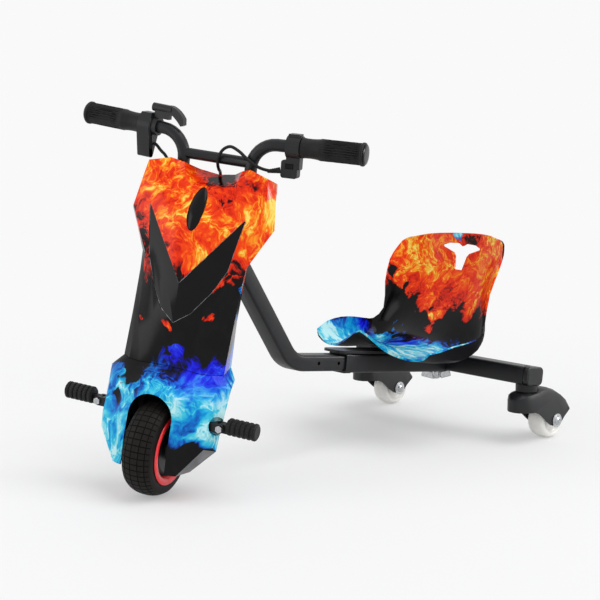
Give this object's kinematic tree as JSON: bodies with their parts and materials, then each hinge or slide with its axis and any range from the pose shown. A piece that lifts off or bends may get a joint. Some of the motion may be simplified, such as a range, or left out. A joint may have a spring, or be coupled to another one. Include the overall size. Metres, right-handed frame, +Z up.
{
  "type": "drift trike",
  "caption": "Electric drift trike: driven front wheel in a flame-printed shell, handlebar, foot pegs, low frame with a bucket seat and swivelling rear casters.",
  "frame": {"origin": "middle of the bounding box, on the floor", "axes": "+Z up, -Y towards the front wheel, +X the rider's left"},
  "size_m": [0.5042, 0.9528, 0.6733],
  "materials": {
    "front_tyre": "moulded rubber",
    "front_rim": "red gloss paint",
    "hub_motor": "satin black powder coat",
    "fork": "satin black powder coat",
    "front_axle": "bright zinc plate",
    "left_axle_nut": "bright zinc plate",
    "right_axle_nut": "bright zinc plate",
    "left_battery": "fine-grained black plastic",
    "right_battery": "fine-grained black plastic",
    "motor_controller": "bare cast aluminium",
    "handlebar": "satin black powder coat",
    "stem_clamp": "satin black powder coat",
    "left_grip": "moulded rubber",
    "left_grip_plug": "polished black plastic",
    "right_grip": "moulded rubber",
    "right_grip_plug": "polished black plastic",
    "throttle_housing": "fine-grained black plastic",
    "throttle_lever": "fine-grained black plastic",
    "control_box": "fine-grained black plastic",
    "speed_rocker": "polished black plastic",
    "front_shell": "glossy printed plastic with flames",
    "gloss_insert": "polished black plastic",
    "headlamp_lens": "polished black plastic",
    "wheel_fender": "glossy printed plastic with blue flames",
    "back_panel": "fine-grained black plastic",
    "left_peg_bracket": "satin black powder coat",
    "left_foot_peg": "moulded rubber",
    "left_peg_bolt": "bright zinc plate",
    "right_peg_bracket": "satin black powder coat",
    "right_foot_peg": "moulded rubber",
    "right_peg_bolt": "bright zinc plate",
    "switch_lead": "moulded rubber",
    "throttle_lead": "moulded rubber",
    "rear_sleeve": "satin black powder coat",
    "sleeve_collar": "fine-grained black plastic",
    "cross_beam": "satin black powder coat",
    "left_beam_cap": "fine-grained black plastic",
    "right_beam_cap": "fine-grained black plastic",
    "seat_plate": "satin black powder coat",
    "lock_bolt": "bright zinc plate",
    "wing_nut": "bright zinc plate",
    "bucket_seat": "glossy printed plastic with flames",
    "main_tube": "satin black powder coat",
    "head_tube": "satin black powder coat",
    "lower_headset": "bright zinc plate",
    "upper_headset": "bright zinc plate",
    "left_caster_stem": "satin black powder coat",
    "left_caster_yoke": "zinc-plated pressed steel",
    "left_caster_hood": "fine-grained black plastic",
    "left_caster_axle": "bright zinc plate",
    "left_caster_wheel": "white polyurethane",
    "right_caster_stem": "satin black powder coat",
    "right_caster_yoke": "zinc-plated pressed steel",
    "right_caster_hood": "fine-grained black plastic",
    "right_caster_axle": "bright zinc plate",
    "right_caster_wheel": "white polyurethane"
  },
  "bodies": {
    "main_frame": {"main_tube": "main_tube", "head_tube": "head_tube", "lower_headset": "lower_headset", "upper_headset": "upper_headset"},
    "steering": {"fork": "fork", "front_axle": "front_axle", "left_axle_nut": "left_axle_nut", "right_axle_nut": "right_axle_nut", "left_battery": "left_battery", "right_battery": "right_battery", "motor_controller": "motor_controller", "handlebar": "handlebar", "stem_clamp": "stem_clamp", "left_grip": "left_grip", "left_grip_plug": "left_grip_plug", "right_grip": "right_grip", "right_grip_plug": "right_grip_plug", "throttle_housing": "throttle_housing", "control_box": "control_box", "front_shell": "front_shell", "gloss_insert": "gloss_insert", "headlamp_lens": "headlamp_lens", "wheel_fender": "wheel_fender", "back_panel": "back_panel", "left_peg_bracket": "left_peg_bracket", "left_peg_bolt": "left_peg_bolt", "right_peg_bracket": "right_peg_bracket", "right_peg_bolt": "right_peg_bolt", "switch_lead": "switch_lead", "throttle_lead": "throttle_lead"},
    "front_wheel": {"front_tyre": "front_tyre", "front_rim": "front_rim", "hub_motor": "hub_motor"},
    "throttle": {"throttle_lever": "throttle_lever"},
    "rocker": {"speed_rocker": "speed_rocker"},
    "left_peg": {"left_foot_peg": "left_foot_peg"},
    "right_peg": {"right_foot_peg": "right_foot_peg"},
    "rear_frame": {"rear_sleeve": "rear_sleeve", "sleeve_collar": "sleeve_collar", "cross_beam": "cross_beam", "left_beam_cap": "left_beam_cap", "right_beam_cap": "right_beam_cap", "seat_plate": "seat_plate", "lock_bolt": "lock_bolt", "wing_nut": "wing_nut", "bucket_seat": "bucket_seat", "left_caster_stem": "left_caster_stem", "right_caster_stem": "right_caster_stem"},
    "left_caster": {"left_caster_yoke": "left_caster_yoke", "left_caster_hood": "left_caster_hood", "left_caster_axle": "left_caster_axle"},
    "right_caster": {"right_caster_yoke": "right_caster_yoke", "right_caster_hood": "right_caster_hood", "right_caster_axle": "right_caster_axle"},
    "left_caster_wheel": {"left_caster_wheel": "left_caster_wheel"},
    "right_caster_wheel": {"right_caster_wheel": "right_caster_wheel"}
  },
  "joints": [
    {"name": "steering_turn", "type": "hinge", "parent": "main_frame", "child": "steering", "pos_m": [-0.00625, -0.39082, 0.08498], "axis": [0, 0.2924, 0.9563], "range_deg": [-70, 20]},
    {"name": "front_wheel_spin", "type": "hinge", "parent": "steering", "child": "front_wheel", "pos_m": [-0.00625, -0.39082, 0.08498], "axis": [0.9063, 0.4042, -0.1236], "continuous": true},
    {"name": "throttle_press", "type": "hinge", "parent": "steering", "child": "throttle", "pos_m": [-0.13757, -0.31153, 0.63556], "axis": [0.9218, 0.353, -0.1604], "range_deg": [0, 30], "stiffness_Nm_per_rad": 0.4},
    {"name": "rocker_tilt", "type": "hinge", "parent": "steering", "child": "rocker", "pos_m": [0.12614, -0.20061, 0.56581], "axis": [0.0913, 0.0108, 0.9958], "range_deg": [-4, 4]},
    {"name": "left_peg_fold", "type": "hinge", "parent": "steering", "child": "left_peg", "pos_m": [0.10811, -0.34156, 0.12994], "axis": [0.4042, -0.9143, -0.0262], "range_deg": [0, 40]},
    {"name": "right_peg_fold", "type": "hinge", "parent": "steering", "child": "right_peg", "pos_m": [-0.10578, -0.43694, 0.1591], "axis": [-0.4042, 0.9143, 0.0262], "range_deg": [0, 40]},
    {"name": "frame_length_adjust", "type": "slide", "parent": "main_frame", "child": "rear_frame", "axis": [0, 0.9914, -0.1305], "range_m": [-0.053, 0.053]},
    {"name": "left_caster_swivel", "type": "hinge", "parent": "rear_frame", "child": "left_caster", "pos_m": [0.20675, 0.36617, 0], "axis": [0, 0, 1], "continuous": true},
    {"name": "right_caster_swivel", "type": "hinge", "parent": "rear_frame", "child": "right_caster", "pos_m": [-0.21925, 0.36617, 0], "axis": [0, 0, 1], "continuous": true},
    {"name": "left_caster_spin", "type": "hinge", "parent": "left_caster", "child": "left_caster_wheel", "pos_m": [0.20675, 0.43017, 0.0375], "axis": [1, 0, 0], "continuous": true},
    {"name": "right_caster_spin", "type": "hinge", "parent": "right_caster", "child": "right_caster_wheel", "pos_m": [-0.21925, 0.43017, 0.0375], "axis": [1, 0, 0], "continuous": true}
  ]
}
